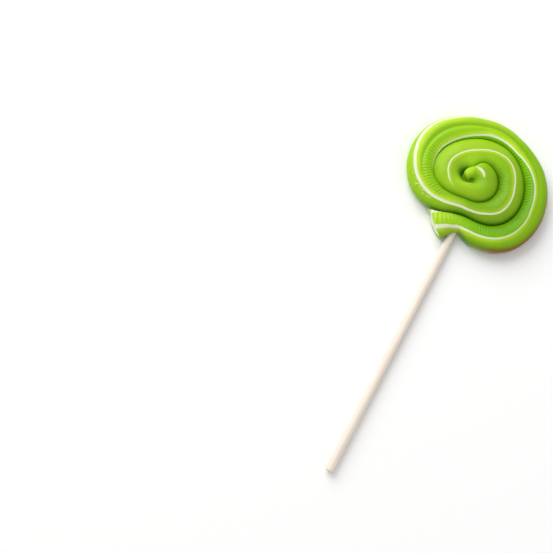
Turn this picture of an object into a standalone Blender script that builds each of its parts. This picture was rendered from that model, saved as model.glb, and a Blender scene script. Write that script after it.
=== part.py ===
"""Swirl lollipop: one candy rope laid in a flat coil, a white core inside a green jacket, pressed down onto a round
wooden stick. Metres, +Z up, the pressed underside on z = 0, the stick along -Y."""

import math

import bmesh
import bpy
from mathutils import Matrix, Vector

MM = 0.001

# The coil seen from above about its eye. The swirl angle, in degrees, grows along the rope from its cut end inwards.
TAIL_ANGLE = -104.4
NOSE_ANGLE = 937.0
NOSE_START = 885.0
TAIL_SKEW = 12.4
TAIL_SKEW_SPAN = 70.0
TAIL_LEAN = -1.2
TAIL_BULGE = 1.75
TAIL_END_SPAN = 20.0
TAIL_FLAP = (2.2, 0.12)

# Outer edge of the rope as it winds in, mm.
EDGE_START = 47.6
EDGE_PER_TURN = 13.02
EDGE_PER_TURN_SQUARED = 0.736
EDGE_FADE_TURNS = 2.6
OFF_CENTRE = (0.0857, -136.2)
OVAL = (0.1, 20.6)
THREE_LOBE = (0.0565, 80.5)

# Places where the edge is drawn in, or swells where the depth is negative: depth mm, swirl angle, half width.
STICK_NOTCH = (4.9, -81.0, 9.3)
TAIL_DIP = (7.0, -75.0, 24.1)
FAR_SIDE_DIP = (3.42, 60.5, 27.8)
SHOULDER_SWELL = (-4.18, 136.9, 31.1)
UNDER_TAIL_DIP = (9.0, 206.1, 41.7)
SECOND_TURN_DIP = (11.85, 275.7, 42.3)
THIRD_TURN_DIP = (10.28, 612.7, 78.4)
NOSE_DIP = (1.7, 925.0, 30.0)
NOSE_STEP = (4.9, 813.3, 6.0)
NOTCH_GROWTH = 1.4

TURN_GAP = 0.2
NOSE_PIT = (1.9, 543.0, 32.0)
EYE_RADIUS = 1.5
EYE_CLOSING_FROM = 562.0
EYE_CLOSING_SPAN = 75.0

# Rope section, mm, and its shape as shares of the height or the half width.
ROPE_HEIGHT = 11.0
HEIGHT_LOST_PER_TURN = 0.35
WIDEST_AT = 0.55
UNDER_ROUNDING = (5.0, 3.0)
UNDER_PRESS = 1.04

# The pressed underside touches the table at these swirl angles and stands clear of it elsewhere, in mm.
REST_ANGLES = (-27.0, 90.0, 216.0)
REST_CLEARANCE = 0.04
REST_SLOPE = 0.0045
REST_PLACE = 0.5

CREASE_DEPTH = 0.20
CREASE_PLACE = 0.18
CREASE_DRIFT = 0.0015
CREASE_WIDTH = 0.14

# Rounding of the section's outer and inner side along the rope: swirl angle, power, root.
OUTER_ROUNDING = ((200.0, 2.2, 2.0), (360.0, 2.0, 1.8), (760.0, 2.0, 1.8), (860.0, 2.6, 2.2))
INNER_ROUNDING = ((330.0, 2.2, 1.6), (490.0, 2.0, 1.15), (760.0, 2.0, 1.15), (860.0, 2.6, 2.2))

JACKET_THICKNESS = 1.2
CORE_GAP = 0.3
HOLLOW_END = 910.0
CORE_END = 905.0
JACKET_SIDES = 24
CORE_SIDES = 12

RING_STEP = 9.0
NOTCH_RING_STEP = 3.0
NOTCH_RINGS_TO = -72.0
FINE_SECTOR = (234.0, 297.0)
NOSE_FINE_SECTOR = (81.0, 117.0)
NOSE_FINE_FROM = 430.0
END_RING_SHARES = (0.3, 0.55, 0.75, 0.9, 0.98)

# Stick, mm. Its axis passes the eye at this distance.
STICK_RADIUS = 2.5
STICK_FROM_EYE = 4.15
STICK_INNER_END = -17.0
STICK_FREE_END = -192.0
STICK_AXIS_HEIGHT = 2.7
STICK_CLEARANCE = 0.3
STICK_BEVEL = 0.25
STICK_SIDES = 24
SHARP_ANGLE = 50.0


def bump(angle, place):
    """Height at a swirl angle of a rounded bump given as height, angle and half width."""
    height, centre, width = place
    return height * math.exp(-(((angle - centre) / width) ** 2))


def ramp(value):
    """Smooth rise from 0 to 1 while value goes from 0 to 1."""
    t = min(1.0, max(0.0, value))
    return t * t * (3.0 - 2.0 * t)


def wave(angle, place, count):
    """A share of the radius that comes back count times a turn."""
    share, centre = place
    return share * math.cos(math.radians(count * (angle - centre)))


def notch(angle, inset):
    """Depth of the flat-topped notch over the stick, mm. Inside the rope it grows wider."""
    depth, centre, width = STICK_NOTCH
    return depth * math.exp(-(abs((angle - centre) / (width + NOTCH_GROWTH * inset)) ** 3))


def winding_edge(angle, inset=0.0):
    """Radius of the rope's outer edge, mm."""
    turns = angle / 360.0
    radius = EDGE_START - EDGE_PER_TURN * turns - EDGE_PER_TURN_SQUARED * turns * turns
    uneven = wave(angle, OVAL, 2) + wave(angle, THREE_LOBE, 3)
    radius *= 1.0 + wave(angle, OFF_CENTRE, 1) + uneven * (1.0 - turns / EDGE_FADE_TURNS)
    radius -= notch(angle, inset)
    for place in (TAIL_DIP, FAR_SIDE_DIP, SHOULDER_SWELL, UNDER_TAIL_DIP, SECOND_TURN_DIP, THIRD_TURN_DIP, NOSE_DIP):
        radius -= bump(angle, place)
    step, centre, width = NOSE_STEP
    return radius - step / (1.0 + math.exp(-(angle - centre) / width))


def nose_share(angle, start=NOSE_START, end=NOSE_ANGLE):
    """Share of its full section that the rope keeps as it rounds off at its inner end."""
    if angle <= start:
        return 1.0
    share = min(1.0, (angle - start) / (end - start))
    return math.sqrt(1.0 - share * share)


def inner_edge(angle):
    """Radius of the rope's inner edge: it lies on the next turn, and past the nose it runs into the eye, mm."""
    pit = bump(angle, NOSE_PIT)
    if angle <= EYE_CLOSING_FROM:
        return winding_edge(angle + 360.0) + TURN_GAP + pit
    against_nose = winding_edge(EYE_CLOSING_FROM + 360.0) + TURN_GAP
    return against_nose + (EYE_RADIUS - against_nose) * ramp((angle - EYE_CLOSING_FROM) / EYE_CLOSING_SPAN) + pit


def height(angle):
    """Height of the rope, mm."""
    return ROPE_HEIGHT - HEIGHT_LOST_PER_TURN * max(0.0, angle / 360.0)


def rounding(table, angle):
    """Power and root of the section's rounding, eased from row to row of a table."""
    pair = table[0][1:]
    for near, far in zip(table, table[1:]):
        share = ramp((angle - near[0]) / (far[0] - near[0]))
        pair = tuple(a + (b - a) * share for a, b in zip(pair, far[1:]))
    return pair


def upper_share(x, angle):
    """Height of the upper surface over the widest place, as a share, for x from -1 inside to 1 outside."""
    power, root = rounding(OUTER_ROUNDING if x > 0.0 else INNER_ROUNDING, angle)
    crown = max(0.0, 1.0 - abs(x) ** power) ** (1.0 / root)
    place = CREASE_PLACE - CREASE_DRIFT * angle
    crease = CREASE_DEPTH * math.exp(-(((x - place) / CREASE_WIDTH) ** 2))
    return crown * (1.0 - crease * ramp((angle + 60.0) / 140.0) * (1.0 - ramp((angle - 225.0) / 50.0)))


def lower_share(x):
    """Depth of the pressed underside under the widest place, as a share."""
    power, root = UNDER_ROUNDING
    return min(1.0, UNDER_PRESS * max(0.0, 1.0 - abs(x) ** power) ** (1.0 / root))


def rest_rise(angle, x):
    """How far the underside stands clear of the table, mm. It touches under the outer turn only."""
    aside = min(abs(angle - place) for place in REST_ANGLES)
    inward = max(0.0, REST_PLACE - x)
    return min(REST_CLEARANCE, REST_SLOPE * aside + 0.5 * REST_CLEARANCE * inward)


def section_outline(angle, sides, resting):
    """Points of the section, as x from -1 inside to 1 outside and z in mm, round from the outer edge over the top.
    The underside of a resting section stands clear of the table between the places where it touches."""
    tall = height(angle)
    widest = WIDEST_AT * tall
    points = []
    for side in range(sides):
        turn = 2.0 * math.pi * side / sides
        x = math.cos(turn)
        if side <= sides // 2:
            z = widest + (tall - widest) * upper_share(x, angle)
        else:
            z = widest * (1.0 - lower_share(x))
            z += rest_rise(angle, x) * lower_share(x) if resting else 0.0
        points.append((x, z))
    return points


def plan_point(radius, angle):
    """A place in plan, mm from the eye."""
    turn = math.radians(angle)
    return Vector((radius * math.cos(turn), radius * math.sin(turn)))


def section_ends(angle, inset):
    """Inner and outer end of the section in plan. At the tail the section stands square to the slanting rope."""
    skew = TAIL_SKEW * (1.0 - ramp((angle - TAIL_ANGLE) / TAIL_SKEW_SPAN))
    outer = plan_point(winding_edge(angle + skew, inset), angle + skew)
    inner = plan_point(inner_edge(angle - skew), angle - skew)
    return inner, outer


def ring(angle, sides, inset, start, end):
    """One ring of the rope's surface, inset from the outside and rounded off between the start and end angles. Near
    the cut its middle swells outwards, its foot is drawn back and its inner corner runs out in a flap."""
    inner, outer = section_ends(angle, inset)
    middle = 0.5 * (inner + outer)
    half = 0.5 * (outer - inner)
    keep = nose_share(angle, start, end)
    centre_z = 0.5 * height(angle)
    wide = keep * (half.length - inset) / half.length
    tall = keep * (centre_z - inset) / centre_z
    near_cut = 1.0 - ramp((angle - TAIL_ANGLE) / TAIL_END_SPAN)
    away = Vector((half.y, -half.x)).normalized()
    points = []
    for x, z in section_outline(angle, sides, inset == 0.0):
        z = centre_z + (z - centre_z) * tall
        across = x * wide
        reach = 0.5 * (1.0 + across) * TAIL_LEAN * (1.0 - z / ROPE_HEIGHT) + TAIL_BULGE * (1.0 - across * across)
        reach += TAIL_FLAP[0] * math.exp(-(((across + 1.0) / TAIL_FLAP[1]) ** 2))
        place = middle + half * across + away * near_cut * reach
        points.append(Vector((place.x, place.y, z)) * MM)
    return points


def step_after(angle):
    """Distance in degrees to the next ring, the same on every turn that touches but for the notch's short steps."""
    place = angle % 360.0
    by_stick = FINE_SECTOR[0] <= place < FINE_SECTOR[1]
    by_nose = NOSE_FINE_SECTOR[0] <= place < NOSE_FINE_SECTOR[1] and angle > NOSE_FINE_FROM
    if angle < NOTCH_RINGS_TO:
        return NOTCH_RING_STEP
    return 0.5 * RING_STEP if by_stick or by_nose else RING_STEP


def ring_angles(start, end):
    """Swirl angles of the rings from the cut end to where the rope rounds off, then on to its tip."""
    angles = []
    here = TAIL_ANGLE
    while here < start:
        angles.append(here)
        here += step_after(here)
    angles.append(start)
    angles.extend(start + (end - start) * share for share in END_RING_SHARES)
    return angles


def rope_rings(sides, inset, end):
    """All rings of the rope at an inset from its outside."""
    start = NOSE_START
    return [ring(angle, sides, inset, start, end) for angle in ring_angles(start, end)]


def add_tube(work, rings, outward):
    """Adds the sides of a run of rings and the cap at its inner end, and returns the first ring's vertices."""
    rows = [[work.verts.new(point) for point in points] for points in rings]
    count = len(rows[0])
    for near, far in zip(rows, rows[1:]):
        for side in range(count):
            after = (side + 1) % count
            quad = (near[side], near[after], far[after], far[side])
            work.faces.new(quad if outward else (quad[0], quad[3], quad[2], quad[1]))
    work.faces.new(rows[-1] if outward else reversed(rows[-1]))
    return rows[0]


def add_cut_face(work, outside, hollow):
    """The edge of the jacket that shows at the cut end, between its outside and the hollow for the core."""
    count = len(outside)
    share = len(hollow) / count
    for side in range(count):
        first = hollow[round(side * share) % len(hollow)]
        second = hollow[round((side + 1) * share) % len(hollow)]
        corners = [outside[(side + 1) % count], outside[side], first]
        if second is not first:
            corners.append(second)
        work.faces.new(corners)


def material(name, colour, roughness):
    """A plain material for one sub-part."""
    made = bpy.data.materials.new(name)
    made.use_nodes = True
    shader = made.node_tree.nodes["Principled BSDF"]
    shader.inputs["Base Color"].default_value = (*colour, 1.0)
    shader.inputs["Roughness"].default_value = roughness
    return made


def finish_object(name, work, made, parent):
    """A named object from the worked mesh, shaded smooth but for its cut edges."""
    mesh = bpy.data.meshes.new(name)
    work.to_mesh(mesh)
    work.free()
    mesh.materials.append(made)
    mesh.shade_smooth()
    mesh.set_sharp_from_angle(angle=math.radians(SHARP_ANGLE))
    thing = bpy.data.objects.new(name, mesh)
    thing.parent = parent
    bpy.context.scene.collection.objects.link(thing)
    return thing


def candy_core(made, parent):
    """The white core, one closed rope."""
    work = bmesh.new()
    rings = rope_rings(CORE_SIDES, JACKET_THICKNESS + CORE_GAP, CORE_END)
    first = add_tube(work, rings, True)
    work.faces.new(reversed(first))
    return finish_object("candy_core", work, made, parent)


def candy_jacket(made, parent):
    """The green jacket round the core, open at the cut end and closed over the nose."""
    work = bmesh.new()
    outside = add_tube(work, rope_rings(JACKET_SIDES, 0.0, NOSE_ANGLE), True)
    hollow = add_tube(work, rope_rings(CORE_SIDES, JACKET_THICKNESS, HOLLOW_END), False)
    add_cut_face(work, outside, hollow)
    return finish_object("candy_jacket", work, made, parent)


def stick_rod(name, radius, near, far, made, parent):
    """A round rod that lies along Y between two places, its ends softened."""
    work = bmesh.new()
    length = (near - far) * MM
    bmesh.ops.create_cone(
        work,
        cap_ends=True,
        segments=STICK_SIDES,
        radius1=radius * MM,
        radius2=radius * MM,
        depth=length,
        matrix=Matrix.Rotation(math.radians(90.0), 4, "X"),
    )
    rims = [edge for edge in work.edges if abs(edge.verts[0].co.y - edge.verts[1].co.y) < 0.5 * length]
    bmesh.ops.bevel(work, geom=rims, offset=STICK_BEVEL * MM, segments=1, affect="EDGES")
    rod = finish_object(name, work, made, parent)
    rod.location = (STICK_FROM_EYE * MM, 0.5 * (near + far) * MM, STICK_AXIS_HEIGHT * MM)
    return rod


def press_on_stick(candy, channel):
    """Cuts the channel that the stick lies in out of a candy object."""
    cut = candy.modifiers.new("stick_channel", "BOOLEAN")
    cut.operation = "DIFFERENCE"
    cut.solver = "EXACT"
    cut.object = channel


def eye_from_middle(candy):
    """Where the eye lies, seen from the middle of the whole footprint, stick and all."""
    xs = [vertex.co.x for vertex in candy.data.vertices]
    ys = [vertex.co.y for vertex in candy.data.vertices]
    return Vector((-0.5 * (min(xs) + max(xs)), -0.5 * (STICK_FREE_END * MM + max(ys)), 0.0))


def main():
    for thing in list(bpy.data.objects):
        bpy.data.objects.remove(thing, do_unlink=True)
    green = material("green_candy", (0.27, 0.60, 0.03), 0.25)
    white = material("white_candy", (0.85, 0.86, 0.74), 0.3)
    wood = material("stick_wood", (0.80, 0.70, 0.55), 0.6)
    eye = bpy.data.objects.new("eye", None)
    bpy.context.scene.collection.objects.link(eye)
    core = candy_core(white, eye)
    jacket = candy_jacket(green, eye)
    stick_rod("stick", STICK_RADIUS, STICK_INNER_END, STICK_FREE_END, wood, eye)
    wide = STICK_RADIUS + STICK_CLEARANCE
    channel = stick_rod("channel_cutter", wide, STICK_INNER_END + STICK_CLEARANCE, STICK_FREE_END, wood, eye)
    channel.hide_render = True
    channel.display_type = "WIRE"
    press_on_stick(core, channel)
    press_on_stick(jacket, channel)
    eye.location = eye_from_middle(jacket)


main()
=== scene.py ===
"""Looks of the swirl lollipop: a ribbed rope of green sugar with white lines and a white core, coiled flat
and pressed onto a round stick. The rope is swept along the same coil as the solid."""

import logging
import math
from dataclasses import dataclass, field
from enum import Enum
from typing import Any, Optional, Union

import bpy
import numpy as np
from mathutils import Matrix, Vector


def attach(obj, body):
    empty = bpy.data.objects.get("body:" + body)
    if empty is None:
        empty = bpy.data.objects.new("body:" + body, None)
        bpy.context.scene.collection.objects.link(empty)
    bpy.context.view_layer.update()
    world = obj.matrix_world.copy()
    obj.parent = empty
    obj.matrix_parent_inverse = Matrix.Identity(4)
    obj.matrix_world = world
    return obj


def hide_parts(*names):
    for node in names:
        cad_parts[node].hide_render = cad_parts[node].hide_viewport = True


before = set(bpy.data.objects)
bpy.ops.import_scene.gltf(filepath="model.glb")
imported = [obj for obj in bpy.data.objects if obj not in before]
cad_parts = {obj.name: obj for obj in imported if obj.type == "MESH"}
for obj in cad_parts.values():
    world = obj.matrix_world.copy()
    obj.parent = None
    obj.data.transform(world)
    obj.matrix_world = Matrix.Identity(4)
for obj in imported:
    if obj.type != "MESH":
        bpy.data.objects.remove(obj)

MM = 0.001
FAR_FROM_LINE = 9.0
FINE_ANGLES = (-105.0, 940.0, 0.25)
log = logging.getLogger("swirl_lollipop")
Colour = tuple[float, float, float]
Number = Union[float, "Value"]


class Value:
    """A socket that carries one number, so that shader maths reads as arithmetic."""

    def __init__(self, graph: "Graph", socket: bpy.types.NodeSocket) -> None:
        """Keeps the graph and the socket."""
        self.graph = graph
        self.socket = socket

    def __add__(self, other: Number) -> "Value":
        """Sum."""
        return self.graph.math("ADD", self, other)

    def __radd__(self, other: Number) -> "Value":
        """Sum, from the right."""
        return self.graph.math("ADD", other, self)

    def __sub__(self, other: Number) -> "Value":
        """Difference."""
        return self.graph.math("SUBTRACT", self, other)

    def __rsub__(self, other: Number) -> "Value":
        """Difference, from the right."""
        return self.graph.math("SUBTRACT", other, self)

    def __mul__(self, other: Number) -> "Value":
        """Product."""
        return self.graph.math("MULTIPLY", self, other)

    def __rmul__(self, other: Number) -> "Value":
        """Product, from the right."""
        return self.graph.math("MULTIPLY", other, self)

    def __neg__(self) -> "Value":
        """The number with its sign turned."""
        return self.graph.math("MULTIPLY", self, -1.0)

    def __abs__(self) -> "Value":
        """The number without its sign."""
        return self.graph.math("ABSOLUTE", self)


class Graph:
    """The node tree of one finish."""

    def __init__(self, name: str) -> None:
        """Makes a named material with an empty node tree.

        Args:
            name: the material's name.
        """
        self.material = bpy.data.materials.new(name)
        self.material.use_nodes = True
        self.tree = self.material.node_tree
        self.tree.nodes.clear()

    def feed(self, socket: bpy.types.NodeSocket, value: Any) -> None:
        """Links a socket, or sets it where the value is plain.

        Args:
            socket: the input to feed.
            value: a Value, another node's socket, a number, a colour or a vector.
        """
        if isinstance(value, Value):
            self.tree.links.new(value.socket, socket)
        elif isinstance(value, bpy.types.NodeSocket):
            self.tree.links.new(value, socket)
        elif socket.type == "RGBA" and len(value) == 3:
            socket.default_value = (*value, 1.0)
        else:
            socket.default_value = value

    def node(
        self, kind: str, settings: Optional[dict] = None, values: Optional[dict] = None
    ) -> bpy.types.Node:
        """Adds a node.

        Args:
            kind: the node's type.
            settings: its own settings, set first.
            values: what goes into its sockets, by name or number.

        Returns:
            The new node.
        """
        made = self.tree.nodes.new(kind)
        for key, setting in (settings or {}).items():
            setattr(made, key, setting)
        for key, value in (values or {}).items():
            self.feed(made.inputs[key], value)
        return made

    def math(self, operation: str, *terms: Number) -> Value:
        """A Math node.

        Args:
            operation: what it works out.
            terms: its numbers.

        Returns:
            The result.
        """
        made = self.node("ShaderNodeMath", {"operation": operation}, dict(enumerate(terms)))
        return Value(self, made.outputs[0])

    def attribute(self, name: str) -> Value:
        """A number kept on the mesh under a name."""
        return Value(self, self.node("ShaderNodeAttribute", {"attribute_name": name}).outputs["Fac"])

    def smooth(self, value: Value, low: float, high: float) -> Value:
        """A smooth step.

        Args:
            value: the number that rises.
            low: where the step starts, at 0.
            high: where it ends, at 1.

        Returns:
            The step, from 0 to 1.
        """
        settings = {"interpolation_type": "SMOOTHSTEP"}
        made = self.node("ShaderNodeMapRange", settings, {0: value, 1: low, 2: high, 3: 0.0, 4: 1.0})
        return Value(self, made.outputs[0])

    def mix(self, share: Number, first: Any, second: Any, how: str = "MIX") -> bpy.types.NodeSocket:
        """Two colours mixed.

        Args:
            share: how much of the second.
            first: a colour or a colour socket.
            second: a colour or a colour socket.
            how: the way of mixing.

        Returns:
            The mixed colour's socket.
        """
        settings = {"data_type": "RGBA", "blend_type": how, "clamp_factor": True}
        return self.node("ShaderNodeMix", settings, {0: share, 6: first, 7: second}).outputs[2]

    def vector(self, x: Number, y: Number, z: Number) -> bpy.types.NodeSocket:
        """A vector from three numbers."""
        return self.node("ShaderNodeCombineXYZ", None, {0: x, 1: y, 2: z}).outputs[0]

    def place(self) -> bpy.types.NodeSocket:
        """The place on the object, in metres."""
        return self.node("ShaderNodeTexCoord").outputs["Object"]

    def noise(
        self, where: bpy.types.NodeSocket, scale: float, detail: float = 2.0, rough: float = 0.5
    ) -> Value:
        """Soft noise.

        Args:
            where: the place to read it at.
            scale: how fine it is.
            detail: how many finer layers it has.
            rough: how strong the finer layers are.

        Returns:
            A number around a half.
        """
        values = {"Vector": where, "Scale": scale, "Detail": detail, "Roughness": rough}
        return Value(self, self.node("ShaderNodeTexNoise", None, values).outputs["Fac"])

    def bump(self, height: Value, strength: float, distance: float) -> bpy.types.NodeSocket:
        """A bumped normal.

        Args:
            height: the relief.
            strength: how much of it shows.
            distance: its depth in metres.

        Returns:
            The normal's socket.
        """
        values = {"Strength": strength, "Distance": distance, "Height": height}
        return self.node("ShaderNodeBump", None, values).outputs["Normal"]

    def finish(self, sockets: dict[str, Any]) -> bpy.types.Material:
        """Closes the tree with the shader.

        Args:
            sockets: what goes into the shader's sockets, by name.

        Returns:
            The material.
        """
        shader = self.node("ShaderNodeBsdfPrincipled", None, sockets)
        self.node("ShaderNodeOutputMaterial", None, {"Surface": shader.outputs[0]})
        return self.material


def ramp(value: np.ndarray) -> np.ndarray:
    """Smooth rise from 0 to 1 while value goes from 0 to 1."""
    share = np.clip(value, 0.0, 1.0)
    return share * share * (3.0 - 2.0 * share)


def along(table: tuple, angle: np.ndarray, column: int = 1, soften: float = 1.2) -> np.ndarray:
    """Reads one column of a table by swirl angle, with its corners softened.

    Args:
        table: rows whose first number is a swirl angle.
        angle: the angles to read it at.
        column: which column to read.
        soften: how far to each side the reading is averaged, degrees.

    Returns:
        The values.
    """
    rows = np.array(table, float)
    shifts = np.linspace(-soften, soften, 5)
    return np.mean([np.interp(angle + shift, rows[:, 0], rows[:, column]) for shift in shifts], axis=0)


@dataclass(frozen=True)
class Bulge:
    """A rounded rise about a centre. It draws the coil's edge in, or out where it is negative."""

    depth: float
    centre: float
    width: float
    power: int = 2

    def at(self, angle: np.ndarray, wider: float = 0.0) -> np.ndarray:
        """The rise at an angle, for a bulge made wider by some degrees."""
        return self.depth * np.exp(-(np.abs((angle - self.centre) / (self.width + wider)) ** self.power))


@dataclass(frozen=True)
class Wave:
    """A share of the radius that comes back a number of times a turn."""

    share: float
    centre: float
    count: int

    def at(self, angle: np.ndarray) -> np.ndarray:
        """The share at a swirl angle."""
        return self.share * np.cos(np.radians(self.count * (angle - self.centre)))


@dataclass(frozen=True)
class Coil:
    """The coil of the rope, in mm and degrees about its eye, and the rope's section."""

    eye_place: tuple[float, float] = (-2.898, 76.022)
    tail_angle: float = -104.4
    nose_angle: float = 937.0
    nose_start: float = 885.0
    tail_skew: float = 12.4
    tail_skew_span: float = 70.0
    tail_lean: float = -1.2
    tail_bulge: float = 1.75
    tail_flap: tuple = (2.2, 0.12)
    tail_end_span: float = 20.0
    edge_start: float = 47.6
    edge_per_turn: float = 13.02
    edge_per_turn_squared: float = 0.736
    edge_fade_turns: float = 2.6
    off_centre: Wave = Wave(0.0857, -136.2, 1)
    oval: Wave = Wave(0.1, 20.6, 2)
    three_lobe: Wave = Wave(0.0565, 80.5, 3)
    stick_notch: Bulge = Bulge(4.9, -81.0, 9.3, 3)
    dips: tuple[Bulge, ...] = (
        Bulge(7.0, -75.0, 24.1),
        Bulge(3.42, 60.5, 27.8),
        Bulge(-4.18, 136.9, 31.1),
        Bulge(9.0, 206.1, 41.7),
        Bulge(11.85, 275.7, 42.3),
        Bulge(10.28, 612.7, 78.4),
        Bulge(1.7, 925.0, 30.0),
    )
    nose_step: tuple[float, float, float] = (4.9, 813.3, 6.0)
    notch_growth: float = 1.4
    turn_gap: tuple = (
        (-85, 0.2), (-60, -0.25), (60, -0.25), (90, 0.2), (155, 0.2), (178, -0.25),
    )
    eye_radius: float = 1.5
    nose_pit: Bulge = Bulge(1.9, 543.0, 32.0)
    eye_closing_from: float = 562.0
    eye_closing_span: float = 75.0
    rope_height: float = 11.0
    height_lost: float = 0.35
    widest_at: float = 0.55
    outer_rounding: tuple = ((200.0, 2.2, 2.0), (360.0, 2.0, 1.8), (760.0, 2.0, 1.8), (860.0, 2.6, 2.2))
    inner_rounding: tuple = ((330.0, 2.2, 1.6), (490.0, 2.0, 1.15), (760.0, 2.0, 1.15), (860.0, 2.6, 2.2))
    under_rounding: tuple[float, float] = (5.0, 3.0)
    under_press: float = 1.04
    crease_depth: float = 0.20
    crease_place: float = 0.18
    crease_drift: float = 0.0015
    crease_width: float = 0.14

    def winding_edge(self, angle: np.ndarray, inset: float = 0.0) -> np.ndarray:
        """Radius of the rope's outer edge.

        Args:
            angle: swirl angles.
            inset: how far inside the rope, where the notch over the stick is wider.

        Returns:
            The radius, mm.
        """
        turns = angle / 360.0
        radius = self.edge_start - self.edge_per_turn * turns - self.edge_per_turn_squared * turns * turns
        uneven = (self.oval.at(angle) + self.three_lobe.at(angle)) * (1.0 - turns / self.edge_fade_turns)
        radius = radius * (1.0 + self.off_centre.at(angle) + uneven)
        radius = radius - self.stick_notch.at(angle, self.notch_growth * inset)
        for dip in self.dips:
            radius = radius - dip.at(angle)
        step, centre, width = self.nose_step
        return radius - step / (1.0 + np.exp(-(angle - centre) / width))

    def inner_edge(self, angle: np.ndarray) -> np.ndarray:
        """Radius of the rope's inner edge. It lies on the next turn and runs into the eye past the nose.

        Args:
            angle: swirl angles.

        Returns:
            The radius, mm.
        """
        by_turn = self.winding_edge(angle + 360.0) + along(self.turn_gap, angle)
        by_nose = self.winding_edge(np.array(self.eye_closing_from + 360.0)) + self.turn_gap[-1][1]
        share = ramp((angle - self.eye_closing_from) / self.eye_closing_span)
        to_eye = by_nose + (self.eye_radius - by_nose) * share
        return np.where(angle <= self.eye_closing_from, by_turn, to_eye) + self.nose_pit.at(angle)

    def height(self, angle: np.ndarray) -> np.ndarray:
        """Height of the rope, mm."""
        return self.rope_height - self.height_lost * np.maximum(0.0, angle / 360.0)

    def ends(self, angle: np.ndarray, inset: float) -> tuple[np.ndarray, np.ndarray]:
        """Inner and outer end of the section in plan, slanted at the tail.

        Args:
            angle: swirl angles.
            inset: how far inside the rope.

        Returns:
            Two arrays of places in plan, mm.
        """
        skew = self.tail_skew * (1.0 - ramp((angle - self.tail_angle) / self.tail_skew_span))
        outer, inner = angle + skew, angle - skew
        radii = self.winding_edge(outer, inset), self.inner_edge(inner)
        turns = np.radians(outer), np.radians(inner)
        places = [np.stack((r * np.cos(t), r * np.sin(t)), axis=-1) for r, t in zip(radii, turns)]
        return places[1], places[0]

    def upper(self, x: np.ndarray, angle: np.ndarray) -> np.ndarray:
        """Height of the upper surface over the widest place, as a share.

        Args:
            x: place across the rope, from -1 inside to 1 outside.
            angle: swirl angles.

        Returns:
            The share, 1 at the top.
        """
        outer, inner = self.rounding(self.outer_rounding, angle), self.rounding(self.inner_rounding, angle)
        power = np.where(x > 0.0, outer[0], inner[0])
        root = np.where(x > 0.0, outer[1], inner[1])
        crown = np.maximum(0.0, 1.0 - np.abs(x) ** power) ** (1.0 / root)
        place = self.crease_place - self.crease_drift * angle
        crease = self.crease_depth * np.exp(-(((x - place) / self.crease_width) ** 2))
        return crown * (1.0 - crease * ramp((angle + 60.0) / 140.0) * (1.0 - ramp((angle - 225.0) / 50.0)))

    def rounding(self, table: tuple, angle: np.ndarray) -> tuple[np.ndarray, np.ndarray]:
        """Power and root of the section's rounding, eased from row to row of a table.

        Args:
            table: rows of swirl angle, power and root.
            angle: swirl angles.

        Returns:
            The power and the root.
        """
        power = np.full_like(angle, table[0][1], dtype=float)
        root = np.full_like(angle, table[0][2], dtype=float)
        for near, far in zip(table, table[1:]):
            share = ramp((angle - near[0]) / (far[0] - near[0]))
            power = power + (far[1] - power) * share
            root = root + (far[2] - root) * share
        return power, root

    def lower(self, x: np.ndarray) -> np.ndarray:
        """Depth of the pressed underside under the widest place, as a share."""
        power, root = self.under_rounding
        return np.minimum(1.0, self.under_press * np.maximum(0.0, 1.0 - np.abs(x) ** power) ** (1.0 / root))

    def surface(
        self, angle: np.ndarray, turn: np.ndarray, inset: float = 0.0, nose: float = 937.0
    ) -> np.ndarray:
        """Points of the rope's surface.

        Args:
            angle: swirl angles, one a ring.
            turn: places round the section in degrees: 0 on top, 90 outside, -90 inside, 180 under.
            inset: how far inside the rope.
            nose: the swirl angle at which it rounds off.

        Returns:
            Places in mm about the eye, by ring and by turn.
        """
        inner, outer = self.ends(angle, inset)
        middle, half = 0.5 * (inner + outer), 0.5 * (outer - inner)
        length = np.linalg.norm(half, axis=1)
        keep = np.sqrt(1.0 - np.clip((angle - self.nose_start) / (nose - self.nose_start), 0.0, 1.0) ** 2)
        centre_z = 0.5 * self.height(angle)[:, None]
        wide = (keep * (length - inset) / length)[:, None]
        tall = keep[:, None] * (centre_z - inset) / centre_z
        x = np.sin(np.radians(turn))[None, :]
        tall_all = 2.0 * centre_z
        widest = self.widest_at * tall_all
        over = widest + (tall_all - widest) * self.upper(x, angle[:, None])
        under = widest * (1.0 - self.lower(x))
        z = np.where(np.abs(turn)[None, :] <= 90.0, over, under)
        z = centre_z + (z - centre_z) * tall
        near_cut = 1.0 - ramp((angle - self.tail_angle) / self.tail_end_span)
        away = np.stack((half[:, 1], -half[:, 0]), axis=1) / length[:, None]
        across = x * wide
        spread = across[:, :, None] * half[:, None, :]
        lean = 0.5 * (1.0 + across) * self.tail_lean * (1.0 - z / self.rope_height)
        flap = self.tail_flap[0] * np.exp(-(((across + 1.0) / self.tail_flap[1]) ** 2))
        reach = near_cut[:, None] * (lean + flap + self.tail_bulge * (1.0 - across**2))
        plan = middle[:, None, :] + spread + reach[:, :, None] * away[:, None, :]
        return np.concatenate((plan, z[:, :, None]), axis=2)

    def in_frame(self, points: np.ndarray) -> np.ndarray:
        """Places about the eye, mm, as places in the frame, metres."""
        return (points.reshape(-1, 3) + np.array([*self.eye_place, 0.0])) * MM


class Line(Enum):
    """The white lines where the core comes to the surface, by the name of their number on the mesh."""

    FIRST = "white_line_first"
    SECOND = "white_line_second"
    THIRD = "white_line_third"
    FOURTH = "white_line_fourth"


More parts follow.
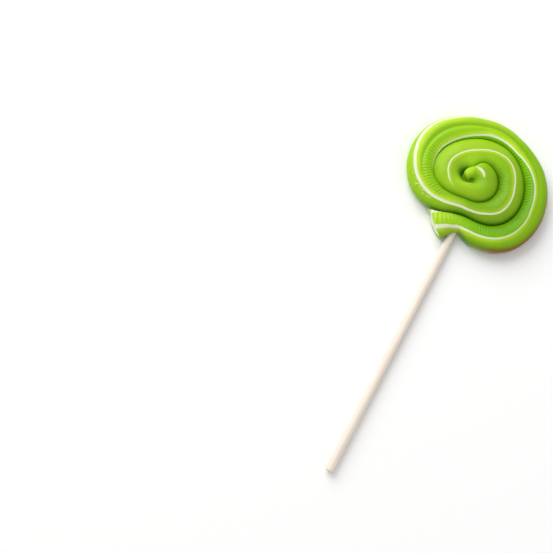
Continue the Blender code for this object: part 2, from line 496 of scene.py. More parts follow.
LINE_ROUTES: dict[Line, tuple] = {
    Line.FIRST: (
        (-104, 21, 1.3, 1), (-99, 28, 1.25, 1), (-96, 32, 1.2, 1), (-93, 38, 1.2, 1), (-91, 38, 1.2, 1),
        (-88, 33, 1.15, 1), (-84, 27, 1, 1), (-80, 15, 0.9, 1), (-74, 11, 0.82, 1), (-66, 13, 0.74, 1),
        (-58, 12, 0.66, 1), (-45, 8, 0.54, 0.95), (-28, 3, 0.42, 0.85), (-14, -3, 0.38, 0.8),
        (-3, -10, 0.4, 0.9), (20, -12, 0.45, 1), (36, -21, 0.45, 1), (59, -42, 0.54, 1),
        (80, -43, 0.62, 1), (95, -45, 0.68, 1), (107, -54, 0.6, 1), (121, -60, 0.56, 1),
        (140, -63, 0.6, 1), (150, -65, 0.62, 1), (165, -66, 0.62, 1), (180, -69, 0.5, 0.8),
        (190, -72, 0.4, 0.5), (200, -78, 0.35, 0.1), (207, -82, 0.3, 0), (940, -90, 0.3, 0),
    ),
    Line.SECOND: (
        (-104, 116, 0.4, 0), (-78, 114, 0.4, 0.3), (-66, 108, 0.4, 0.6), (-57, 96, 0.4, 0.5),
        (-45, 88, 0.35, 0.2), (-30, 84, 0.4, 0), (60, 84, 0.4, 0), (84, 79, 0.55, 0.5),
        (100, 76, 0.65, 0.9), (112, 71, 0.75, 1), (121, 58, 0.8, 1), (128, 51, 0.85, 1),
        (136, 50, 0.88, 1), (146, 55, 0.9, 1), (164, 47, 0.92, 1), (177, 36, 0.95, 1), (191, 26, 0.92, 1),
        (215, 18, 0.95, 1), (242, 12, 0.92, 1), (262, 15, 0.85, 1), (286, 20, 0.72, 1), (300, 14, 0.66, 1),
        (313, 9, 0.6, 1), (332, 14, 0.54, 1), (373, 9, 0.46, 1), (405, 18, 0.44, 1), (418, 15, 0.42, 1),
        (430, 6, 0.4, 1), (443, -1, 0.4, 1), (474, 2, 0.4, 1), (541, 0, 0.43, 1), (560, 5, 0.43, 1),
        (572, 11, 0.42, 0.8), (584, 17, 0.4, 0.3), (596, 22, 0.35, 0), (631, 30, 0.3, 0),
        (646, 25, 0.3, 0), (670, 10, 0.3, 0), (704, -8, 0.32, 0), (746, -15, 0.4, 0), (754, -14, 0.5, 0.7),
        (764, -12, 0.66, 1), (785, -8, 0.85, 1), (799, -5, 0.75, 1), (808, 2, 0.6, 0.8),
        (816, 14, 0.45, 0.3), (824, 28, 0.35, 0), (840, 46, 0.35, 0), (870, 66, 0.3, 0), (940, 80, 0.2, 0),
    ),
    Line.THIRD: (
        (-105, -42, 1.4, 1), (-103, -46, 1.35, 1), (-100, -53, 1.25, 1), (-96, -61, 1.1, 1),
        (-92, -66, 0.9, 1), (-87, -71, 0.7, 0.9), (-82, -75, 0.5, 0.4), (-77, -79, 0.3, 0),
        (940, -90, 0.3, 0),
    ),
    Line.FOURTH: (
        (-105, 170, 0.3, 0), (200, 104, 0.35, 0), (210, 102, 0.4, 0.6), (222, 106, 0.4, 0.6),
        (238, 107, 0.4, 0.5), (246, 106, 0.3, 0), (640, 90, 0.3, 0), (675, 84, 0.35, 0.4),
        (716, 82, 0.35, 0.4), (735, 82, 0.3, 0), (940, 85, 0.3, 0),
    ),
}


# Rows of swirl angle, then shares for the inner side, the outer side and the top of the rope.
GROOVE_SHADE: tuple = (
    (-105, 0, 0, 0), (-92, 0, 0.1, 0), (-80, 0.1, 0.8, 0), (-68, 0.2, 0.4, 0), (-50, 0.4, 0.15, 0),
    (-30, 0.4, 0.1, 0), (0, 0.4, 0, 0), (60, 0.15, 0, 0), (90, 0, 0, 0), (200, 0, 0, 0),
    (225, 0.1, 0.3, 0), (255, 0.4, 0.9, 0.15), (290, 0.6, 1.8, 0.4), (330, 0.8, 1.5, 0.28),
    (390, 1, 0.9, 0.14), (440, 0.5, 0.4, 0), (475, 0.2, 0, 0), (500, 1.2, 0, 0), (525, 1.7, 0, 0.12),
    (560, 2, 0, 0.12), (580, 1.6, 0.1, 0), (600, 0.7, 0.1, 0), (640, 0.2, 0.5, 0.05),
    (690, 0.1, 0.9, 0.15), (740, 0.1, 0.8, 0.35), (790, 0, 0.3, 0.2), (830, 0, 0, 0),
)
YELLOW_TINT: tuple = (
    (-105, 0.75, 0, 0.5), (-90, 0.5, 0, 0.3), (-74, 0.1, 0, 0.1), (-60, 0, 0, 0), (55, 0, 0, 0),
    (78, 0, 0.45, 0.2), (95, 0.1, 0.5, 0.2), (130, 0.1, 0.3, 0.1), (160, 0, 0, 0), (400, 0, 0, 0),
    (440, 0.2, 0, 0.1), (480, 0.4, 0, 0.2), (540, 0.3, 0, 0.2), (600, 0.5, 0, 0.3), (650, 0.4, 0, 0.2),
    (700, 0.1, 0.1, 0), (820, 0.2, 0, 0.1), (870, 0.35, 0.3, 0.4), (940, 0.35, 0.3, 0.35),
)
# Painted light and shade: rows as above; positive shares lighten the sugar's colour, negative ones darken
# it.
PAINTED_LIGHT: tuple = (
    (-105, 0.08, -0.12, 0.12), (-70, 0, -0.05, 0.1), (-45, -0.2, 0, 0.05), (-10, -0.2, 0, 0),
    (20, -0.05, 0, 0), (40, 0.2, 0, 0), (65, 0.4, 0, 0), (100, 0.3, 0, 0), (190, 0.12, 0, 0),
    (230, 0, 0, 0), (400, 0, 0, 0), (440, 0.3, 0, 0), (485, 0.3, 0, 0), (515, 0, 0, 0), (780, 0.1, 0, 0),
    (830, 0.3, 0.1, 0.2), (860, 0.35, 0.2, 0.25), (890, 0.05, 0.05, 0.05), (940, 0, 0, 0),
)


@dataclass(frozen=True)
class Ribs:
    """The fine ribs across the rope's inner half."""

    pitch: tuple = (
        (-105, 3.6), (-90, 3.4), (-60, 2.86), (-48, 2.44), (-24, 2.44), (0, 2.65), (24, 3.1), (60, 3.33),
        (110, 3.25), (144, 3.25), (192, 3.45), (204, 3.6), (216, 4), (228, 4.5), (300, 4.6), (348, 3.9),
        (372, 4.35), (396, 4.6), (420, 5.1), (444, 4.7), (560, 5), (700, 7), (940, 8),
    )
    depth: tuple = (
        (-105, 0.09), (-92, 0.08), (-84, 0.04), (-65, 0.06), (-50, 0.12), (-30, 0.14), (0, 0.15),
        (20, 0.12), (38, 0.11), (50, 0.16), (62, 0.20), (72, 0.15), (85, 0.10), (110, 0.07), (132, 0.11),
        (150, 0.13), (180, 0.14), (205, 0.14), (218, 0.14), (235, 0.08), (250, 0.02), (310, 0.02),
        (340, 0.11), (370, 0.17), (430, 0.16), (450, 0.10), (480, 0.05), (540, 0.03), (600, 0.02),
        (940, 0),
    )
    limit: tuple = (
        (-105, 12), (-80, 2), (-50, -4), (-36, -14), (-24, -24), (0, -30), (24, -26), (45, -34), (60, -46),
        (75, -56), (100, -60), (125, -56), (145, -36), (168, -10), (210, -4), (240, 0), (330, -30),
    )
    slant: tuple = (
        (-105, -0.05), (-60, -0.07), (-48, -0.08), (-24, -0.05), (12, -0.04), (24, -0.01), (110, 0),
        (144, 0.03), (180, 0.04), (195, 0.09), (240, 0.10), (300, -0.05), (360, -0.06), (372, 0),
        (396, 0.05), (420, 0.1),
    )
    rings_each: int = 8

    def phase(self, angle: np.ndarray) -> np.ndarray:
        """Number of ribs from the cut end to a swirl angle.

        Args:
            angle: swirl angles.

        Returns:
            The number, with its fraction.
        """
        fine = np.arange(*FINE_ANGLES)
        count = np.concatenate(([0.0], np.cumsum(FINE_ANGLES[2] / along(self.pitch, fine[:-1]))))
        return np.interp(angle, fine, count)

    def ring_angles(self, start: float, end: float) -> np.ndarray:
        """Swirl angles of rings that keep step with the ribs.

        Args:
            start: the first angle.
            end: the last angle.

        Returns:
            The angles.
        """
        first, last = self.phase(np.array([start, end]))
        steps = int((last - first) * self.rings_each)
        fine = np.arange(*FINE_ANGLES)
        return np.interp(np.linspace(first, last, steps + 1), self.phase(fine), fine)

    def wave(self, angle: np.ndarray, turn: np.ndarray) -> np.ndarray:
        """The ribs' relief, mm.

        Args:
            angle: swirl angles, one a ring.
            turn: places round the section.

        Returns:
            The relief by ring and by turn.
        """
        edge = along(self.limit, angle)[:, None]
        band = ramp((turn[None, :] + 96.0) / 16.0) * ramp((edge + 10.0 - turn[None, :]) / 22.0)
        phase = self.phase(angle[:, None] - along(self.slant, angle)[:, None] * (turn[None, :] + 40.0))
        uneven = 1.0 + 0.22 * np.sin(1.9 * phase + 0.05 * turn[None, :]) + 0.16 * np.sin(0.83 * phase + 1.0)
        return along(self.depth, angle)[:, None] * band * uneven * np.cos(2.0 * math.pi * phase)


@dataclass(frozen=True)
class GreenSugar:
    """Glossy green sugar with white lines where the core comes through, and painted shade, painted light and
    painted glints in its colour.
    """

    shadow: Colour = (0.060, 0.215, 0.003)
    deep: Colour = (0.190, 0.465, 0.006)
    middle: Colour = (0.250, 0.500, 0.009)
    cool: Colour = (0.300, 0.535, 0.012)
    yellow: Colour = (0.500, 0.690, 0.035)
    amber_shade: Colour = (0.250, 0.115, 0.003)
    white: Colour = (0.700, 0.755, 0.540)

    def material(self) -> bpy.types.Material:
        """The finish as a node material.

        Returns:
            The material.
        """
        graph = Graph("green_sugar")
        lines = {line: graph.attribute(line.value) for line in Line}
        first, second = lines[Line.FIRST], lines[Line.SECOND]
        past_first = graph.smooth(first, -0.8, 1.2)
        past_second = graph.smooth(second, -1.2, 0.8)
        body = graph.mix(past_first, self.deep, self.middle)
        body = graph.mix(past_second, body, self.cool)
        by_first = (1.0 - graph.smooth(first, 1.0, 7.0)) * past_first
        by_second = (1.0 - graph.smooth(-second, 1.0, 7.0)) * (1.0 - past_second)
        by_line = graph.math("MAXIMUM", by_first, by_second) * graph.attribute("white_show")
        yellow = graph.math("MAXIMUM", by_line * 0.8, graph.attribute("yellow_tint"))
        body = graph.mix(yellow, body, self.yellow)
        body = graph.mix(graph.attribute("groove_shade"), body, self.shadow)
        # Painted shade: an amber-brown darkening on the lower right outer flank.
        body = graph.mix(graph.attribute("painted_amber_shade"), body, self.amber_shade)
        pulled = graph.vector(graph.attribute("along_rope") * 0.03, graph.attribute("round_rope") * 1.4, 0.0)
        streaks = graph.noise(pulled, 1.0, 3.0)
        mottle = graph.noise(graph.place(), 140.0, 2.0)
        # The ribs' height also darkens and lightens the colour: painted shade and light along the ribs.
        # Streaks and mottle are the sugar's own uneven tone.
        tone = 0.88 + streaks * 0.14 + mottle * 0.10 + graph.attribute("rib_height") * 0.17
        # Painted light and shade: darker towards the side away from the key light, and lightened or darkened
        # by swirl angle.
        light = (1.0 - graph.attribute("painted_falloff_shade") * 0.14) * (graph.attribute("painted_light") + 1.0)
        tone = tone * light
        body = graph.mix(1.0, body, graph.vector(tone, tone, tone), "MULTIPLY")
        white = self.lines_mask(graph, lines)
        # The white lines take the same painted light and shade.
        pale = graph.mix(1.0, self.white, graph.vector(light, light, light), "MULTIPLY")
        colour = graph.mix(white, body, pale)
        # Painted highlight: small pale glint specks mixed into the colour on the left of the outer turn.
        painted_glint_specks = graph.smooth(graph.noise(graph.place(), 620.0, 2.0), 0.57, 0.64)
        colour = graph.mix(graph.attribute("glint") * painted_glint_specks, colour, self.white)
        skin = graph.noise(graph.place(), 1500.0, 2.0)
        rough = 0.24 + mottle * 0.10 + white * 0.06
        return graph.finish({
            "Base Color": colour,
            "Roughness": rough,
            "Normal": graph.bump(skin, 0.10, 0.00005),
            "IOR": 1.36,
            "Specular IOR Level": 0.3,
            "Specular Tint": (0.8, 1.0, 0.7, 1.0),
            "Coat Weight": 0.02,
            "Coat Roughness": 0.12,
            "Subsurface Weight": 0.22,
            "Subsurface Radius": (0.6, 1.0, 0.2),
            "Subsurface Scale": 0.002,
        })

    def lines_mask(self, graph: Graph, lines: dict[Line, Value]) -> Value:
        """Where the white lines show.

        Args:
            graph: the tree to add to.
            lines: the distance from each line's middle, in half widths.

        Returns:
            1 on a line and 0 away from it.
        """
        mask: Optional[Value] = None
        for line in lines.values():
            one = 1.0 - graph.smooth(abs(line), 0.75, 1.25)
            mask = one if mask is None else graph.math("MAXIMUM", mask, one)
        return mask * graph.attribute("white_show")


@dataclass(frozen=True)
class WhiteSugar:
    """Satin white pulled sugar of the core."""

    pale: Colour = (0.86, 0.88, 0.76)
    shade: Colour = (0.70, 0.76, 0.55)

    def material(self) -> bpy.types.Material:
        """The finish as a node material.

        Returns:
            The material.
        """
        graph = Graph("white_sugar")
        grain = graph.noise(graph.place(), 420.0, 4.0, 0.6)
        colour = graph.mix(graph.smooth(grain, 0.35, 0.7), self.pale, self.shade)
        return graph.finish({
            "Base Color": colour,
            "Roughness": 0.36 + grain * 0.12,
            "Normal": graph.bump(grain, 0.25, 0.0002),
            "IOR": 1.49,
        })


@dataclass(frozen=True)
class StickWood:
    """Smooth bare pale wood with a faint grain along the stick, and painted brown shade along its side away
    from the key light.
    """

    pale: Colour = (0.83, 0.75, 0.65)
    grain: Colour = (0.70, 0.59, 0.47)
    side_shade_brown: Colour = (0.42, 0.27, 0.17)
    end: Colour = (0.66, 0.52, 0.38)
    grain_scale: tuple[float, float, float] = (1500.0, 26.0, 1500.0)

    def material(self) -> bpy.types.Material:
        """The finish as a node material.

        Returns:
            The material.
        """
        graph = Graph("stick_wood")
        place = graph.place()
        mapping = graph.node("ShaderNodeMapping", None, {"Vector": place, "Scale": self.grain_scale})
        stretched = mapping.outputs[0]
        fibres = graph.noise(stretched, 1.0, 4.0, 0.6)
        broad = graph.noise(place, 60.0, 2.0)
        colour = graph.mix(graph.smooth(fibres, 0.42, 0.78) * 0.55, self.pale, self.grain)
        # Painted shade: a brown streak along the stick's side away from the key light.
        side_shade_brown = graph.attribute("painted_side_shade") * graph.smooth(fibres, 0.2, 0.7)
        colour = graph.mix(side_shade_brown, colour, self.side_shade_brown)
        colour = graph.mix(graph.attribute("cut_end") * 0.8, colour, self.end)
        tone = 0.94 + broad * 0.10
        colour = graph.mix(1.0, colour, graph.vector(tone, tone, tone), "MULTIPLY")
        return graph.finish({
            "Base Color": colour,
            "Roughness": 0.52 + fibres * 0.12,
            "Normal": graph.bump(fibres, 0.2, 0.0001),
            "IOR": 1.45,
        })


def make_piece(
    name: str, points: np.ndarray, faces: list, numbers: dict[str, np.ndarray]
) -> bpy.types.Object:
    """A smooth mesh object.

    Args:
        name: the piece's name.
        points: its vertices in the frame, metres.
        faces: its faces as vertex numbers.
        numbers: numbers kept on its vertices, by name.

    Returns:
        The object, linked to the scene.
    """
    mesh = bpy.data.meshes.new(name)
    mesh.from_pydata(points.tolist(), [], faces)
    for key, values in numbers.items():
        kept = mesh.attributes.new(key, "FLOAT", "POINT")
        kept.data.foreach_set("value", values.astype(np.float32).ravel())
    mesh.update()
    mesh.shade_smooth()
    mesh.set_sharp_from_angle(angle=math.radians(42.0))
    thing = bpy.data.objects.new(name, mesh)
    bpy.context.scene.collection.objects.link(thing)
    return thing


def grid_faces(rows: int, columns: int, start: int, outward: bool) -> list:
    """Quads of a tube.

    Args:
        rows: how many rings it has.
        columns: how many points a ring has.
        start: the number of its first vertex.
        outward: whether the faces look out of the tube.

    Returns:
        The quads as vertex numbers.
    """
    row, column = np.meshgrid(np.arange(rows - 1), np.arange(columns), indexing="ij")
    after = (column + 1) % columns
    near, far = start + row * columns, start + (row + 1) * columns
    corners = (near + column, far + column, far + after, near + after)
    if not outward:
        corners = corners[::-1]
    return np.stack(corners, axis=-1).reshape(-1, 4).tolist()


def cap_faces(ring: range, middle: int, outward: bool) -> list:
    """Triangles from a ring to its middle.

    Args:
        ring: the ring's vertex numbers.
        middle: the middle's vertex number.
        outward: whether the triangles follow the ring's own order.

    Returns:
        The triangles as vertex numbers.
    """
    count = len(ring)
    pairs = [(ring[side], ring[(side + 1) % count]) for side in range(count)]
    return [(a, b, middle) if outward else (b, a, middle) for a, b in pairs]


@dataclass
class CandyRope:
    """The green rope, its white lines and the hollow that the core fills."""

    coil: Coil = field(default_factory=Coil)
    ribs: Ribs = field(default_factory=Ribs)
    finish: GreenSugar = field(default_factory=GreenSugar)
    upper_steps: int = 36
    lower_steps: int = 10
    hollow_inset: float = 1.2
    hollow_end: float = 910.0
    rim_softness: float = 0.25
    usual_rib: float = 0.15
    unevenness: float = 0.05
    relief_from: float = 0.6
    relief_span: float = 1.5
    # Painted shade: the way across the coil in which the colour darkens, away from the key light.
    painted_shade_direction: tuple[float, float] = (0.96, -0.27)
    coil_half: float = 45.0
    amber_start: tuple[float, float] = (-76.0, 30.0)
    amber_stop: tuple[float, float] = (40.0, 50.0)
    amber_side: tuple[float, float] = (38.0, 40.0)
    glint_along: Bulge = Bulge(1.0, 218.0, 20.0)
    glint_round: Bulge = Bulge(1.0, 34.0, 8.0)
    eye_floor_height: float = 5.5
    eye_floor_radius: float = 6.4

    def section_turns(self) -> np.ndarray:
        """Places round the section from under the rope over its outside, closer together above.

        Returns:
            The places in degrees.
        """
        outer = np.linspace(180.0, 90.0, self.lower_steps // 2 + 1)[:-1]
        upper = np.linspace(90.0, -90.0, self.upper_steps + 1)
        inner = np.linspace(-90.0, -180.0, self.lower_steps // 2 + 1)[1:-1]
        return np.concatenate((outer, upper, inner))

    def ring_angles(self) -> np.ndarray:
        """Swirl angles of all rings, closer together where the rope rounds off.

        Returns:
            The angles.
        """
        body = self.ribs.ring_angles(self.coil.tail_angle + 0.4, self.coil.nose_start)
        span = self.coil.nose_angle - self.coil.nose_start
        nose = self.coil.nose_start + span * np.sin(np.radians(np.linspace(4.0, 87.5, 24)))
        return np.concatenate(([self.coil.tail_angle], body, nose))

    def white_numbers(
        self, angle: np.ndarray, turn: np.ndarray, points: np.ndarray
    ) -> dict[str, np.ndarray]:
        """Distances from the white lines in half widths, and how strongly the nearest shows.

        Args:
            angle: swirl angles, one a ring.
            turn: places round the section.
            points: the surface, mm.

        Returns:
            The numbers by name, by ring and by turn.
        """
        steps = np.linalg.norm(np.diff(points, axis=1), axis=2)
        length = np.concatenate((np.zeros((len(angle), 1)), np.cumsum(steps, axis=1)), axis=1)
        numbers: dict[str, np.ndarray] = {}
        nearest = np.full(length.shape, 1e9)
        show = np.zeros(length.shape)
        for line, route in LINE_ROUTES.items():
            place, half, strength = (along(route, angle, column) for column in (1, 2, 3))
            slot = np.interp(-place, -turn, np.arange(len(turn)))
            low = np.clip(slot.astype(int), 0, len(turn) - 2)
            part = slot - low
            rows = np.arange(len(angle))
            middle = length[rows, low] * (1.0 - part) + length[rows, low + 1] * part
            away = (middle[:, None] - length) / half[:, None]
            numbers[line.value] = np.clip(away, -FAR_FROM_LINE, FAR_FROM_LINE)
            closer = np.abs(away) < nearest
            nearest = np.where(closer, np.abs(away), nearest)
            show = np.where(closer, strength[:, None], show)
        numbers["white_show"] = show
        numbers["round_rope"] = length
        numbers["along_rope"] = np.repeat((angle * 0.6)[:, None], len(turn), axis=1)
        return numbers

    def outward(self, points: np.ndarray) -> np.ndarray:
        """Directions square to a ring-by-turn surface, pointing out of the rope.

        Args:
            points: the surface, mm.

        Returns:
            The directions, of length 1.
        """
        onward = np.gradient(points, axis=0)
        across = np.roll(points, -1, axis=1) - np.roll(points, 1, axis=1)
        normal = np.cross(across, onward)
        return normal / np.maximum(1e-9, np.linalg.norm(normal, axis=2, keepdims=True))

    def uneven(self, points: np.ndarray) -> np.ndarray:
        """Slight hand-made unevenness of the surface, mm.

        Args:
            points: the surface, mm.

        Returns:
            The height by ring and by turn.
        """
        x, y, z = points[..., 0], points[..., 1], points[..., 2]
        broad = np.sin(0.31 * x + 0.7) * np.sin(0.27 * y + 1.3) + 0.6 * np.sin(0.52 * x - 0.43 * y + 0.5 * z)
        return self.unevenness * broad

    def shares(self, table: tuple, angle: np.ndarray, inner: np.ndarray, outer: np.ndarray) -> np.ndarray:
        """Shares from a table laid over the rope.

        Args:
            table: rows of swirl angle and the shares inside, outside and on top.
            angle: swirl angles.
            inner: how far each place round the section counts as inside.
            outer: how far it counts as outside.

        Returns:
            The share by ring and by turn, at most 1.
        """
        inside, outside, top = (along(table, angle, column)[:, None] for column in (1, 2, 3))
        sides = inside * inner[None, :] + outside * outer[None, :]
        return np.minimum(1.0, sides + top * (1.0 - inner - outer)[None, :])

    def build(self) -> bpy.types.Object:
        """Builds and dresses the rope.

        Returns:
            The finished piece.
        """
        angle, turn = self.ring_angles(), self.section_turns()
        points = self.coil.surface(angle, turn)
        points[0] = self.coil.surface(angle[:1], turn, self.rim_softness)[0]
        above = ramp((points[..., 2] - self.relief_from) / self.relief_span)
        ribs = self.ribs.wave(angle, turn)
        relief = (ribs + self.uneven(points)) * above
        relief[0] = 0.0
        points = points + self.outward(points) * relief[..., None]
        points[..., 2] = np.maximum(0.0, points[..., 2])
        numbers = self.white_numbers(angle, turn, points)
        # Rib height, which the green sugar also paints as shade and light.
        numbers["rib_height"] = ribs / self.usual_rib
        # Painted shade: the colour darkens across the coil towards the side away from the key light.
        numbers["painted_falloff_shade"] = points[..., :2] @ np.array(self.painted_shade_direction) / self.coil_half
        deep_sides = ramp((-turn - 25.0) / 65.0), ramp((turn - 40.0) / 50.0)
        wide_sides = ramp((10.0 - turn) / 60.0), ramp((turn - 10.0) / 60.0)
        numbers["groove_shade"] = self.shares(GROOVE_SHADE, angle, *deep_sides)
        numbers["yellow_tint"] = self.shares(YELLOW_TINT, angle, *wide_sides)
        # Painted light and shade by swirl angle and side of the rope.
        numbers["painted_light"] = self.shares(PAINTED_LIGHT, angle, *wide_sides)
        # Painted shade: amber-brown on the outer flank of the lower and right part of the outer turn.
        lower_right = ramp((angle - self.amber_start[0]) / self.amber_start[1])
        lower_right = lower_right * ramp((self.amber_stop[0] - angle) / self.amber_stop[1])
        outside = ramp((turn - self.amber_side[0]) / self.amber_side[1])
        numbers["painted_amber_shade"] = lower_right[:, None] * outside[None, :]
        # Painted highlight: where the pale glint specks show.
        numbers["glint"] = self.glint_along.at(angle)[:, None] * self.glint_round.at(turn)[None, :]
        faces = grid_faces(len(angle), len(turn), 0, True)
        places = [points.reshape(-1, 3)]
        kept = {key: [value.ravel()] for key, value in numbers.items()}
        count = len(angle) * len(turn)
        places.append(points[-1].mean(axis=0)[None])
        for key, value in numbers.items():
            tip = FAR_FROM_LINE if key.startswith("white_line") else value[-1, 0]
            kept[key].append(np.array([tip]))
        faces += cap_faces(range(count - len(turn), count), count, False)
        count += 1
        count = self.add_hollow(places, kept, faces, count, turn, numbers)
        self.add_eye_floor(places, kept, faces, count)
        stacked = {key: np.concatenate(value) for key, value in kept.items()}
        piece = make_piece("candy_rope", self.coil.in_frame(np.concatenate(places)), faces, stacked)
        piece.data.materials.append(self.finish.material())
        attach(piece, "root")
        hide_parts("candy_jacket")
        return piece

    def add_hollow(
        self, places: list, kept: dict, faces: list, count: int, turn: np.ndarray, numbers: dict
    ) -> int:
        """Adds the hollow for the core and the jacket's edge at the cut.

        Args:
            places: lists of points so far.
            kept: numbers on the points so far.
            faces: faces so far.
            count: how many points there are so far.
            turn: places round the outside section.
            numbers: numbers of the outside, whose first ring the cut takes over.

        Returns:
            How many points there are now.
        """
        inner_turn = turn[::2]
        body = np.arange(self.coil.tail_angle, self.coil.nose_start, 5.0)
        span = self.hollow_end - self.coil.nose_start
        angle = np.concatenate((body, self.coil.nose_start + span * np.array([0.4, 0.7, 0.9, 0.98])))
        hollow = self.coil.surface(angle, inner_turn, self.hollow_inset, self.hollow_end)
        places.append(hollow.reshape(-1, 3))
        places.append(hollow[-1].mean(axis=0)[None])
        for key, value in numbers.items():
            ring = np.tile(value[0, ::2], len(angle))
            kept[key].append(np.append(ring, ring[0]))
        total = hollow.shape[0] * hollow.shape[1]
        faces += grid_faces(len(angle), len(inner_turn), count, False)
        last = range(count + total - len(inner_turn), count + total)
        faces += cap_faces(last, count + total, True)
        for side in range(len(turn)):
            after = (side + 1) % len(turn)
            first = count + (side // 2) % len(inner_turn)
            second = count + ((side + 1) // 2) % len(inner_turn)
            corners = [side, after, second]
            if second != first:
                corners.append(first)
            faces.append(corners)
        return count + total + 1

    def add_eye_floor(self, places: list, kept: dict, faces: list, count: int) -> None:
        """Adds the soft sugar floor that fills the eye between the inner turns.

        Args:
            places: lists of points so far.
            kept: numbers on the points so far.
            faces: faces so far.
            count: how many points there are so far.
        """
        rings, sides = 9, 40
        radius = np.linspace(0.5, self.eye_floor_radius, rings)[:, None]
        turn = np.linspace(0.0, 2.0 * math.pi, sides, endpoint=False)[None, :]
        dish = self.eye_floor_height + 0.045 * radius**2 + 0.12 * np.sin(2.0 * turn + 0.8 * radius)
        floor = np.stack((radius * np.cos(turn), radius * np.sin(turn), dish), axis=-1)
        places.append(floor.reshape(-1, 3))
        places.append(np.array([[0.0, 0.0, self.eye_floor_height]]))
        faces += grid_faces(rings, sides, count, False)
        faces += cap_faces(range(count, count + sides), count + rings * sides, True)
        special = {Line.FIRST.value: -FAR_FROM_LINE, "groove_shade": 0.65}
        for key in kept:
            usual = FAR_FROM_LINE if key.startswith("white_line") else 0.0
            kept[key].append(np.full(rings * sides + 1, special.get(key, usual)))


@dataclass
class CoreRope:
    """The white core, which shows at the cut end."""

    coil: Coil = field(default_factory=Coil)
    finish: WhiteSugar = field(default_factory=WhiteSugar)
    inset: float = 1.5
    end_inset: float = 1.25
    proud: float = 0.08
    nose: float = 905.0
    sides: int = 48

    def build(self) -> bpy.types.Object:
        """Builds and dresses the core.

        Returns:
            The finished piece.
        """
        turn = 180.0 - 360.0 * np.arange(self.sides) / self.sides
        start, nose_start = self.coil.tail_angle, self.coil.nose_start
        body = np.arange(-101.0, nose_start, 2.5)
        rounding = (self.nose - nose_start) * np.sin(np.radians(np.linspace(8.0, 86.0, 12)))
        angle = np.concatenate((start + np.array([0.0, 0.5, 1.5]), body, nose_start + rounding))
        points = self.coil.surface(angle, turn, self.inset, self.nose)
        for row in range(2):
            points[row] = self.coil.surface(angle[row : row + 1], turn, self.end_inset, self.nose)[0]
        inner, outer = self.coil.ends(angle[:1], 0.0)
        half = (outer - inner)[0]
        away = np.array([half[1], -half[0], 0.0]) / np.linalg.norm(half)
        points[0] += away * self.proud
        count = points.shape[0] * self.sides
        middle = points[0].mean(axis=0)
        first_inner = middle + (points[0] - middle) * 0.55
        wavy = 0.03 * np.sin(np.radians(3.0 * turn))[:, None] * away
        ends = [middle[None] + away * 0.03, points[-1].mean(axis=0)[None]]
        places = [points.reshape(-1, 3), first_inner + wavy, *ends]
        faces = grid_faces(points.shape[0], self.sides, 0, True)
        faces += cap_faces(range(count - self.sides, count), count + self.sides + 1, False)
        for side in range(self.sides):
            after = (side + 1) % self.sides
            faces.append([side, after, count + after, count + side])
        faces += cap_faces(range(count, count + self.sides), count + self.sides, True)
        piece = make_piece("core_rope", self.coil.in_frame(np.concatenate(places)), faces, {})
        piece.data.materials.append(self.finish.material())
        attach(piece, "root")
        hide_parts("candy_core")
        return piece


@dataclass
class Stick:
    """The round wooden stick, cut square with a softened rim."""

    coil: Coil = field(default_factory=Coil)
    finish: StickWood = field(default_factory=StickWood)
    radius: float = 2.5
    from_eye: float = 4.15
    inner_end: float = -17.0
    free_end: float = -192.0
    axis_height: float = 2.7
    rim: float = 0.3
    sides: int = 64
    end_rings: tuple[float, ...] = (0.6, 1.3, 1.9)
    # Painted shade along the stick's side away from the key light.
    shade_sides: tuple[Bulge, ...] = (Bulge(0.75, 0.12, 0.3), Bulge(0.75, 6.40, 0.3))

    def profile(self) -> tuple[np.ndarray, np.ndarray, np.ndarray]:
        """Places along the stick, the radius there and how much of the cut end shows.

        Returns:
            Three arrays, from the free end to the inner end.
        """
        turn = np.radians(np.linspace(0.0, 90.0, 5))
        inward, shrink = self.rim * (1.0 - np.sin(turn)), self.rim * (1.0 - np.cos(turn))
        edge = np.stack((inward, self.radius - shrink), axis=1)[::-1]
        face = np.array([[0.0, radius] for radius in (*self.end_rings, self.radius - self.rim)])
        near_end = np.concatenate((face, edge[1:]))
        length = self.inner_end - self.free_end
        body = np.linspace(2.0, length - 2.0, 84)
        swell = 0.02 * np.sin(0.09 * body) + 0.015 * np.sin(0.31 * body + 1.0)
        shaft = np.stack((body, self.radius - 0.035 + swell), axis=1)
        far_end = near_end[::-1] * np.array([-1.0, 1.0]) + np.array([length, 0.0])
        table = np.concatenate((near_end, shaft, far_end))
        cut = (np.minimum(table[:, 0], length - table[:, 0]) < 0.02).astype(float)
        return self.free_end + table[:, 0], table[:, 1], cut

    def build(self) -> bpy.types.Object:
        """Builds and dresses the stick.

        Returns:
            The finished piece.
        """
        place, radius, cut = self.profile()
        turn = np.linspace(0.0, 2.0 * math.pi, self.sides, endpoint=False)
        x = self.from_eye + radius[:, None] * np.cos(turn)
        z = self.axis_height + radius[:, None] * np.sin(turn)
        y = np.repeat(place[:, None], self.sides, axis=1)
        points = np.stack((x, y, z), axis=-1).reshape(-1, 3)
        ends = np.array([[self.from_eye, place[end], self.axis_height] for end in (0, -1)])
        faces = grid_faces(len(place), self.sides, 0, True)
        count = len(points)
        faces += cap_faces(range(self.sides), count, True)
        faces += cap_faces(range(count - self.sides, count), count + 1, False)
        side = sum(side_shade_brown.at(turn) for side_shade_brown in self.shade_sides)
        numbers = {
            "cut_end": np.concatenate((np.repeat(cut, self.sides), [1.0, 1.0])),
            "painted_side_shade": np.concatenate((np.tile(side, len(place)), [0.0, 0.0])),
        }
        places = self.coil.in_frame(np.concatenate((points, ends)))
        piece = make_piece("stick_round", places, faces, numbers)
        piece.data.materials.append(self.finish.material())
        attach(piece, "root")
        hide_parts("stick")
        return piece


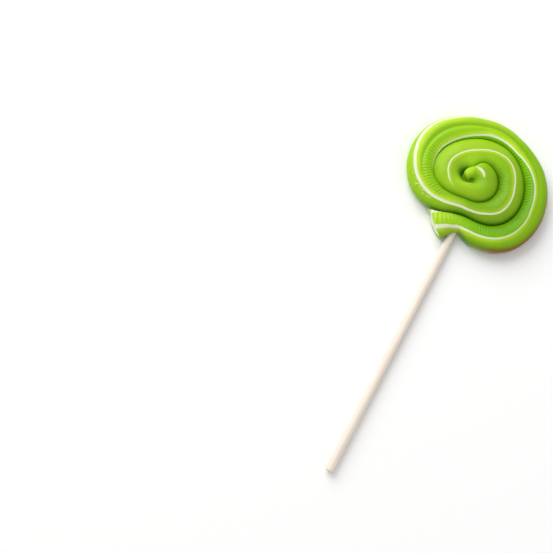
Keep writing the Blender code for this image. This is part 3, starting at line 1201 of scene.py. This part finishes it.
@dataclass(frozen=True)
class FloorPaper:
    """Plain pale matt paper."""

    pale: Colour = (0.93, 0.93, 0.925)

    def material(self) -> bpy.types.Material:
        """The finish as a node material.

        Returns:
            The material.
        """
        graph = Graph("floor_paper")
        grain = graph.noise(graph.place(), 30.0, 2.0)
        colour = graph.mix(grain * 0.3, self.pale, tuple(0.985 * part for part in self.pale))
        return graph.finish({"Base Color": colour, "Roughness": 0.8 + grain * 0.1})


@dataclass(frozen=True)
class Softbox:
    """A square soft light: which way and how far it hangs from the sweet, metres, and its power, watts."""

    name: str
    direction: tuple[float, float, float]
    distance: float
    side: float
    power: float


@dataclass
class Studio:
    """Floor, soft light and camera."""

    sweet: Vector = field(default_factory=lambda: Vector((-3.0, 76.0, 5.0)) * MM)
    target: Vector = field(default_factory=lambda: Vector((-77.999, -29.671, 0.0)) * MM)
    camera_place: Vector = field(default_factory=lambda: Vector((12.881, -199.874, 672.883)) * MM)
    lens: float = 77.897
    floor_half: float = 2.5
    softboxes: tuple[Softbox, ...] = (
        Softbox("key", (-0.849, 0.528, 0.84), 2.0, 1.7, 34.0),
        Softbox("fill", (0.75, -0.55, 0.8), 1.1, 0.9, 1.0),
    )
    sky: float = 0.62

    def floor(self) -> bpy.types.Object:
        """A wide pale floor under the sweet.

        Returns:
            The floor.
        """
        corners = np.array(((-1.0, -1.0, 0.0), (1.0, -1.0, 0.0), (1.0, 1.0, 0.0), (-1.0, 1.0, 0.0)))
        floor = make_piece("floor", corners * self.floor_half, [(0, 1, 2, 3)], {})
        floor.data.materials.append(FloorPaper().material())
        return floor

    def light(self, box: Softbox) -> bpy.types.Object:
        """Hangs a soft light so that it looks at the sweet.

        Args:
            box: the light's sizes.

        Returns:
            The light.
        """
        data = bpy.data.lights.new(box.name, "AREA")
        data.shape = "SQUARE"
        data.size = box.side
        data.energy = box.power
        lamp = bpy.data.objects.new(box.name, data)
        self.aim(lamp, self.sweet + Vector(box.direction).normalized() * box.distance, self.sweet)
        return lamp

    def aim(self, thing: bpy.types.Object, place: Vector, target: Vector) -> None:
        """Links a lamp or camera to the scene and turns it to look at a target.

        Args:
            thing: the lamp or camera.
            place: where it hangs, metres.
            target: where it looks, metres.
        """
        bpy.context.scene.collection.objects.link(thing)
        thing.location = place
        thing.rotation_mode = "QUATERNION"
        thing.rotation_quaternion = (target - place).to_track_quat("-Z", "Y")

    def camera(self) -> bpy.types.Object:
        """The camera at the picture's own angle.

        Returns:
            The camera.
        """
        data = bpy.data.cameras.new("camera")
        data.lens = self.lens
        data.sensor_width = 36.0
        camera = bpy.data.objects.new("camera", data)
        self.aim(camera, self.camera_place, self.target)
        bpy.context.scene.camera = camera
        return camera

    def build(self) -> None:
        """Sets out the floor, the lights, the pale surroundings and the camera."""
        self.floor()
        self.camera()
        for box in self.softboxes:
            self.light(box)
        world = bpy.data.worlds.new("pale_surroundings")
        world.use_nodes = True
        back = world.node_tree.nodes["Background"]
        back.inputs["Color"].default_value = (1.0, 1.0, 1.0, 1.0)
        back.inputs["Strength"].default_value = self.sky
        bpy.context.scene.world = world
        bpy.context.scene.view_settings.view_transform = "Standard"


def main() -> None:
    """Builds each piece in order and reports it."""
    logging.basicConfig(level=logging.INFO, format="%(name)s: %(message)s")
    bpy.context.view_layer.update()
    for maker in (CandyRope(), CoreRope(), Stick()):
        piece = maker.build()
        triangles = sum(len(face.vertices) - 2 for face in piece.data.polygons)
        log.info("%s: %d vertices, %d triangles", piece.name, len(piece.data.vertices), triangles)
    Studio().build()
    log.info("studio: floor, two soft lights, camera")


if __name__ == "__main__":
    main()
